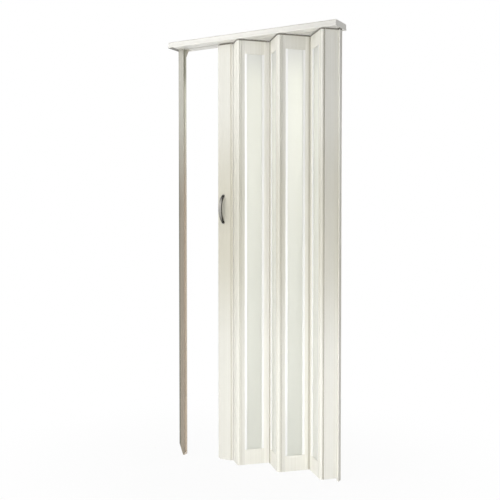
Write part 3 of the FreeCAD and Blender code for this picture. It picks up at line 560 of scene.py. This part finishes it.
# %% Dress the solids
finish_of_slot = {"ivory_pvc": panel_pvc, "hinge_pvc": strip_pvc, "white_channel": channel_white,
                  "frosted_acrylic": pane_frost, "nylon": glider_nylon, "handle_metal": handle_nickel,
                  "plated_steel": screw_zinc, "bracket_metal": bracket_paint}
own_finish = {"lead_post": lead_pvc, "lead_nose": lead_pvc,
              "lead_top_plug": lead_pvc, "lead_bottom_plug": lead_pvc,
              "lead_half_panel": lit_pvc, "wall_half_panel": lit_pvc,
              "head_rail": rail_pvc, "rail_end_cap_left": rail_pvc, "rail_end_cap_right": rail_pvc,
              "strike_post": strike_shaded, "strike_foot_plug": strike_shaded, "strike_magnets": strike_shaded,
              "panel_1_peak_stile": first_pvc,
              "panel_3_peak_stile": outer_pvc, "panel_3_top_rail": outer_pvc,
              "panel_2_pane": pane_sheen, "panel_4_pane": pane_sheen,
              **valley_pvc}
slot_of_node = {part["node"]: part["material_slot"] for part in frame["record"]["subparts"]}
for name, solid in nodes.items():
    finish = own_finish[name] if name in own_finish else finish_of_slot[slot_of_node[name]]
    solid.data.materials.clear()
    solid.data.materials.append(finish)
print(f"dressed {len(nodes)} solids, {len(own_finish)} of them with a finish of their own")

# %% [markdown]
# ## Floor and backdrop
#
# The floor is plain and pale, and the backdrop is white. More light could bleach both, but then the
# door would bleach as well. Instead the kind of ray decides: what the camera, the gloss and the panes
# show of them is white, while a dimmer world lights the door. Near the door a small part of what is
# seen is still the lit floor, so that the soft shadow stays.

# %% Floor
FLOOR_HALF = 14.0           # metres
FLOOR_DROP = 0.0005         # metres that keep the floor off the foot of the door

corners = [(x * FLOOR_HALF, y * FLOOR_HALF, -FLOOR_DROP) for x, y in ((-1, -1), (1, -1), (1, 1), (-1, 1))]
floor_mesh = bpy.data.meshes.new("floor")
floor_mesh.from_pydata(corners, [], [(0, 1, 2, 3)])
floor = bpy.data.objects.new("floor", floor_mesh)
bpy.context.scene.collection.objects.link(floor)
print("floor", 2 * FLOOR_HALF, "m wide")

# %% Floor paint
SHADOW_REACH = (0.3, 1.6)   # metres from the middle between which the floor turns fully white
SHADOW_WHITE = 0.92         # share of white nearer to the door
WHITE = colour(1, 1, 1)


def seen_share(add):
    """1 for rays from the camera, from gloss and through the panes, 0 for light on its way to the door."""
    rays = add("ShaderNodeLightPath").outputs
    mirrored = reckoned(add, "MAXIMUM", rays["Is Glossy Ray"], rays["Is Transmission Ray"])
    return reckoned(add, "MAXIMUM", rays["Is Camera Ray"], mirrored)


floor_paint, shader, add = new_finish("floor_paint")
speck = add("ShaderNodeTexNoise", {"Scale": 3.0, "Detail": 2.0}).outputs["Fac"]
feed(shader.inputs["Base Color"], blended(add, speck, colour(0.86, 0.86, 0.855), colour(0.88, 0.88, 0.875)))
feed(shader.inputs["Roughness"], 0.8)
away = add("ShaderNodeVectorMath", {0: add("ShaderNodeTexCoord").outputs["Object"]}, operation="LENGTH")
fade = ramp(add, away.outputs["Value"], *SHADOW_REACH, low=SHADOW_WHITE, soft=True)
white = add("ShaderNodeEmission", {"Color": WHITE, "Strength": 1.0})
seen_floor = add("ShaderNodeMixShader", {0: reckoned(add, "MULTIPLY", seen_share(add), fade),
                                         1: shader.outputs["BSDF"], 2: white.outputs["Emission"]})
output = next(node for node in floor_paint.node_tree.nodes if node.type == "OUTPUT_MATERIAL")
feed(output.inputs["Surface"], seen_floor.outputs["Shader"])
floor_mesh.materials.append(floor_paint)
print("floor finish:", floor_paint.name)

# %% World
WORLD_FILL = 0.365          # strength of the world as a light

world = bpy.data.worlds.new("studio")
bpy.context.scene.world = world
world.use_nodes = True
world.node_tree.nodes.clear()
add_sky = node_adder(world.node_tree)
strength = between(add_sky, seen_share(add_sky), WORLD_FILL, 1.0)
glow = add_sky("ShaderNodeBackground", {"Color": WHITE, "Strength": strength})
add_sky("ShaderNodeOutputWorld", {"Surface": glow.outputs["Background"]})
print("world fills with", WORLD_FILL)

# %% [markdown]
# ## Lamps
#
# The light is plain and soft, from area lamps that the camera doesn't see. One lamp could do, but the
# door is tall and narrow, so smaller ones lift its head and its foot. A frosted pane would show each
# lamp in front of it as a spot, and they are therefore left out of what the panes let through. The
# softbox behind the door is the exception, because it makes the panes glow. The fill beside it is for
# views from the rear. The gloss strip gives no diffuse light: it shows only in gloss, above all in
# that of the glazing channels.

# %% Lamps
def soft_lamp(name, place, target, size, watts, through_panes=False):
    """Oblong area lamp that faces a point of the door."""
    lamp = bpy.data.lights.new(name, "AREA")
    lamp.shape = "RECTANGLE"
    lamp.size, lamp.size_y = size
    lamp.energy = watts
    stand = bpy.data.objects.new(name, lamp)
    bpy.context.scene.collection.objects.link(stand)
    stand.location = place
    stand.rotation_mode = "QUATERNION"
    stand.rotation_quaternion = (Vector(target) - Vector(place)).to_track_quat("-Z", "Y")
    stand.visible_camera = False
    stand.visible_transmission = through_panes
    return stand


soft_lamp("top_softbox", (0, -2.2, 4.2), (0, 0, 1.0), (2.0, 2.0), 8.5)
soft_lamp("upper_left_lamp", (-1.6, -1.6, 2.7), (-0.1, 0, 1.9), (0.8, 0.8), 12)
soft_lamp("upper_front_lamp", (-0.9, -2.4, 2.1), (0.1, 0, 1.95), (0.6, 0.6), 6.5)
soft_lamp("near_front_lamp", (-0.1, -1.0, 1.9), (-0.1, 0, 1.9), (0.3, 0.4), 2.3)
soft_lamp("low_front_lamp", (0.25, -1.5, 0.16), (0.1, 0, 0.2), (1.2, 0.24), 11)
soft_lamp("low_right_lamp", (1.4, -1.8, 0.4), (0.42, 0, 0.25), (0.6, 0.4), 3.2)
soft_lamp("rear_softbox", (-0.8, 3.0, 2.2), (0.1, 0, 1.3), (1.4, 1.4), 11.5, through_panes=True)
soft_lamp("rear_fill_lamp", (0.7, 2.8, 1.6), (0, 0, 1.0), (1.4, 1.4), 32)
gloss_strip = soft_lamp("gloss_strip", (1.20, -0.525, 1.45), (0.09, -0.03, 1.45), (0.36, 2.8), 10.2)
gloss_strip.visible_diffuse = False
bpy.context.scene.view_settings.view_transform = "Standard"
print("lamps:", *(lamp.name for lamp in bpy.data.lights))
